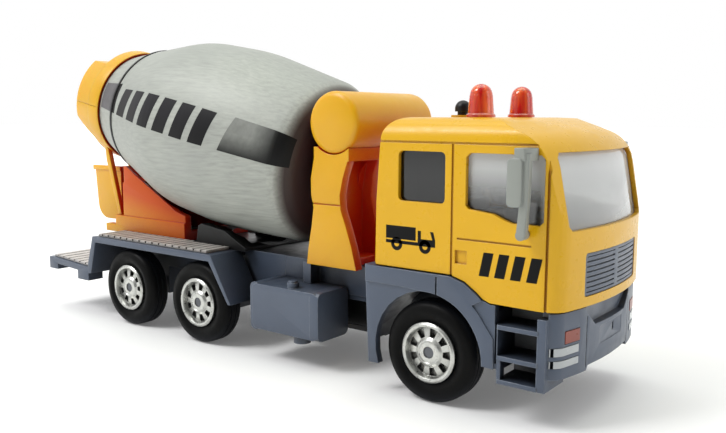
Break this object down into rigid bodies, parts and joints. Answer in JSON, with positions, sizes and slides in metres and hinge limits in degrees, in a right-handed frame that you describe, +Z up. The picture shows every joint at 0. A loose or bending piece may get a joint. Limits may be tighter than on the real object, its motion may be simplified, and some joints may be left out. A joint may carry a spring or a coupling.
{
  "type": "toy cement mixer",
  "caption": "Toy concrete mixer lorry with a cab, a tilted drum that turns by hand, rolling wheels, a swinging discharge chute and a roof push button.",
  "frame": {"origin": "on the floor under the middle of the truck's length and width", "axes": "+X forwards towards the cab, +Y to the truck's left, +Z up"},
  "size_m": [0.1738, 0.0548, 0.0814],
  "materials": {
    "slate_plastic": "fine satin moulding",
    "black_plastic": "satin",
    "tread_plate": "ribbed",
    "cell_steel": "brushed",
    "steel": "plain",
    "yellow_paint": "glossy enamel",
    "yellow_plastic": "smooth moulding",
    "clear_glazing": "clear moulding",
    "lamp_white": "printed white",
    "lamp_orange": "printed orange",
    "grey_plastic": "satin",
    "red_lens": "tinted clear moulding",
    "led": "clear",
    "circuit": "lacquered",
    "drum_silver": "brushed silver-grey paint",
    "hub_chrome": "bright plated",
    "tyre_rubber": "rubber"
  },
  "bodies": {
    "truck": {"chassis_frame": "slate_plastic", "rear_deck": "slate_plastic", "cab_base": "slate_plastic", "side_tank_right": "slate_plastic", "side_tank_left": "slate_plastic", "drum_saddle": "black_plastic", "deck_tread_right": "tread_plate", "deck_tread_left": "tread_plate", "platform_tread": "tread_plate", "battery_box": "black_plastic", "button_cells": "cell_steel", "battery_cover": "black_plastic", "cover_screw": "steel", "speaker": "black_plastic", "chassis_screws": "steel", "cab_shell": "yellow_paint", "cab_glazing": "clear_glazing", "cab_interior": "black_plastic", "steering_wheel": "black_plastic", "grille": "slate_plastic", "headlamp_right": "lamp_white", "headlamp_left": "lamp_white", "indicator_right": "lamp_orange", "indicator_left": "lamp_orange", "mirror_right": "grey_plastic", "mirror_left": "grey_plastic", "beacon_right": "red_lens", "beacon_left": "red_lens", "beacon_leds": "led", "circuit_board": "circuit", "drum_tower": "yellow_plastic", "water_tank": "yellow_plastic", "rear_pedestal": "yellow_plastic", "hopper_hood": "yellow_plastic", "hopper_cradle": "yellow_plastic", "chute_pin": "steel", "button_spring": "steel"},
    "front_wheels": {"front_axle": "steel", "front_hub_right": "hub_chrome", "front_hub_left": "hub_chrome", "front_tyre_right": "tyre_rubber", "front_tyre_left": "tyre_rubber"},
    "middle_wheels": {"middle_axle": "steel", "middle_hub_right": "hub_chrome", "middle_hub_left": "hub_chrome", "middle_tyre_right": "tyre_rubber", "middle_tyre_left": "tyre_rubber"},
    "rear_wheels": {"rear_axle": "steel", "rear_hub_right": "hub_chrome", "rear_hub_left": "hub_chrome", "rear_tyre_right": "tyre_rubber", "rear_tyre_left": "tyre_rubber"},
    "drum": {"drum_barrel": "drum_silver", "drum_mouth": "drum_silver", "drum_seam": "black_plastic", "drum_spindle": "steel"},
    "chute": {"chute": "yellow_plastic"},
    "button": {"roof_button": "black_plastic"}
  },
  "joints": [
    {"name": "front_axle_spin", "type": "hinge", "parent": "truck", "child": "front_wheels", "pos_m": [0.0554, 0, 0.011], "axis": [0, 1, 0], "continuous": true},
    {"name": "middle_axle_spin", "type": "hinge", "parent": "truck", "child": "middle_wheels", "pos_m": [-0.0174, 0, 0.011], "axis": [0, 1, 0], "continuous": true},
    {"name": "rear_axle_spin", "type": "hinge", "parent": "truck", "child": "rear_wheels", "pos_m": [-0.0471, 0, 0.011], "axis": [0, 1, 0], "continuous": true},
    {"name": "drum_spin", "type": "hinge", "parent": "truck", "child": "drum", "pos_m": [-0.0568, 0, 0.0609], "axis": [0.9816, 0, -0.1908], "continuous": true},
    {"name": "chute_swing", "type": "hinge", "parent": "truck", "child": "chute", "pos_m": [-0.0676, 0, 0.0272], "axis": [0, 0, 1], "range_deg": [-25, 25]},
    {"name": "button_press", "type": "slide", "parent": "truck", "child": "button", "axis": [0, 0, -1], "range_m": [0, 0.0007], "stiffness_N_per_m": 200, "springref_m": -0.0003, "deforming": ["button_spring"]}
  ]
}
